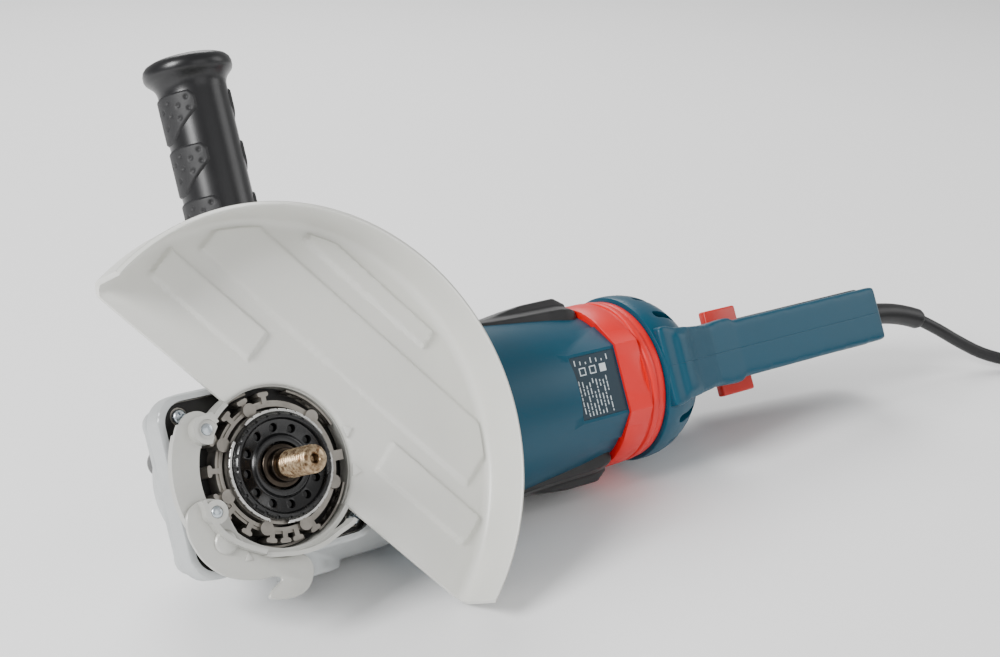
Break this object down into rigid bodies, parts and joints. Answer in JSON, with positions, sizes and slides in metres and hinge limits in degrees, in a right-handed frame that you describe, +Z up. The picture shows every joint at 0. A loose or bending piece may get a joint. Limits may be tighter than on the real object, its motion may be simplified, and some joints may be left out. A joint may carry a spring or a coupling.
{
  "type": "angle grinder",
  "caption": "Large corded angle grinder lying on its side, with a guard on a quick clamp, a side handle and a closed rear handle that turns; no disc fitted.",
  "frame": {"origin": "on the surface the tool lies on, under the middle of the tool's box without its cord", "axes": "+X along the tool towards the rear handle, -Y to the side the disc faces, +Z up from the surface"},
  "size_m": [0.808, 0.3163, 0.2675],
  "materials": {
    "cast_aluminium": "shot-blasted casting with a thin clear grey lacquer",
    "black_plastic": "moulded glass-filled nylon, fine texture",
    "light_ring": "bright stamped steel",
    "zinc_steel": "zinc-plated steel",
    "bearing_steel": "ground bearing steel",
    "bronze": "sintered bronze, oiled",
    "spindle_steel": "turned steel with a worn golden-brown temper colour",
    "gear_steel": "case-hardened steel, greased",
    "spring_steel": "plain spring steel",
    "blue_nylon": "teal blue moulded nylon, fine eroded texture",
    "lamination_steel": "stacked electrical steel",
    "copper_wire": "enamelled copper wire, varnished",
    "commutator_copper": "turned copper segments",
    "brush_brass": "folded brass sheet",
    "carbon": "pressed graphite",
    "fan_plastic": "moulded nylon",
    "label_film": "dark plain film, satin",
    "black_rubber": "moulded rubber, fine matt texture",
    "red_rubber": "bright red elastomer, satin",
    "red_plastic": "red moulded plastic, satin",
    "guard_paint": "light warm grey powder coat on sheet steel",
    "side_grip": "black moulded handle with softer dark grey patches",
    "cord_rubber": "black rubber-sheathed flex, semi-matt",
    "tie_rubber": "black rubber strap",
    "nickel": "nickel-plated brass pins"
  },
  "bodies": {
    "root": {"gear_housing": "cast_aluminium", "bearing_flange": "cast_aluminium", "bearing_cover": "black_plastic", "retaining_ring": "light_ring", "flange_screws": "zinc_steel", "spindle_bearing": "bearing_steel", "spindle_bush": "bronze", "pinion_bearing": "bearing_steel", "lock_spring": "spring_steel", "motor_housing": "blue_nylon", "air_baffle": "black_plastic", "stator_core": "lamination_steel", "field_coils": "copper_wire", "rear_bearing": "bearing_steel", "brush_holders": "brush_brass", "carbon_brushes": "carbon", "brush_springs": "spring_steel", "housing_screws": "zinc_steel", "label_plate": "label_film", "bumper_left": "black_rubber", "bumper_right": "black_rubber", "vibration_ring": "red_rubber", "cord_relief": "cord_rubber", "cord": "cord_rubber", "cord_coil": "cord_rubber", "cord_tie": "tie_rubber", "cord_tail": "cord_rubber", "plug_relief": "cord_rubber", "plug_body": "cord_rubber", "plug_pins": "nickel"},
    "spindle": {"spindle": "spindle_steel", "crown_gear": "gear_steel"},
    "armature": {"armature_shaft": "gear_steel", "pinion_gear": "gear_steel", "rotor_core": "lamination_steel", "rotor_windings": "copper_wire", "commutator": "commutator_copper", "cooling_fan": "fan_plastic"},
    "guard": {"guard_shell": "guard_paint", "clamp_band": "guard_paint", "clamp_link": "guard_paint", "link_pin": "zinc_steel", "lever_rivet": "guard_paint"},
    "clamp_lever": {"clamp_lever": "guard_paint", "strap_hook": "guard_paint", "hook_pin": "zinc_steel"},
    "side_handle": {"side_handle_grip": "side_grip", "side_handle_stud": "zinc_steel"},
    "rear_handle": {"handle_base": "blue_nylon", "handle_shell_left": "blue_nylon", "handle_shell_right": "blue_nylon", "soft_grip": "black_rubber", "handle_screws": "zinc_steel", "switch_block": "black_plastic", "trigger_pin": "bearing_steel"},
    "trigger": {"trigger": "red_plastic"},
    "lock_off": {"lock_off_catch": "red_plastic"},
    "handle_release": {"handle_release": "black_plastic"},
    "spindle_lock": {"spindle_lock_button": "black_plastic"}
  },
  "joints": [
    {"name": "armature_spin", "type": "hinge", "parent": "root", "child": "armature", "pos_m": [-0.20705, 0.003, 0.06032], "axis": [0.9998, 0, -0.0175], "continuous": true},
    {"name": "spindle_spin", "type": "hinge", "parent": "root", "child": "spindle", "pos_m": [-0.20705, 0.003, 0.06032], "axis": [0.0078, -0.8949, 0.4461], "continuous": true},
    {"name": "guard_turn", "type": "hinge", "parent": "root", "child": "guard", "pos_m": [-0.20705, 0.003, 0.06032], "axis": [0.0078, -0.8949, 0.4461], "range_deg": [-90, 90]},
    {"name": "clamp_lever_open", "type": "hinge", "parent": "guard", "child": "clamp_lever", "pos_m": [-0.24652, -0.06341, 0.06228], "axis": [-0.0078, 0.8949, -0.4461], "range_deg": [0, 40]},
    {"name": "handle_turn", "type": "hinge", "parent": "root", "child": "rear_handle", "pos_m": [-0.20705, 0.003, 0.06032], "axis": [0.9998, 0, -0.0175], "range_deg": [-90, 90]},
    {"name": "handle_release_slide", "type": "slide", "parent": "rear_handle", "child": "handle_release", "axis": [0.9998, 0, -0.0175], "range_m": [0, 0.004], "stiffness_N_per_m": 800},
    {"name": "trigger_press", "type": "hinge", "parent": "rear_handle", "child": "trigger", "pos_m": [0.13577, 0.01821, 0.04675], "axis": [0.0156, 0.4462, 0.8948], "range_deg": [0, 5], "stiffness_Nm_per_rad": 6},
    {"name": "lock_off_slide", "type": "slide", "parent": "trigger", "child": "lock_off", "axis": [0.9998, 0, -0.0175], "range_m": [0, 0.004], "stiffness_N_per_m": 400},
    {"name": "spindle_lock_press", "type": "slide", "parent": "root", "child": "spindle_lock", "axis": [0.0078, -0.8949, 0.4461], "range_m": [0, 0.004], "stiffness_N_per_m": 1200},
    {"name": "side_handle_turn", "type": "hinge", "parent": "root", "child": "side_handle", "pos_m": [-0.17702, -0.00058, 0.06158], "axis": [0.0156, 0.4462, 0.8948], "continuous": true}
  ],
  "couplings": [
    {"joint": "spindle_spin", "follows": "armature_spin", "ratio": -0.25}
  ]
}
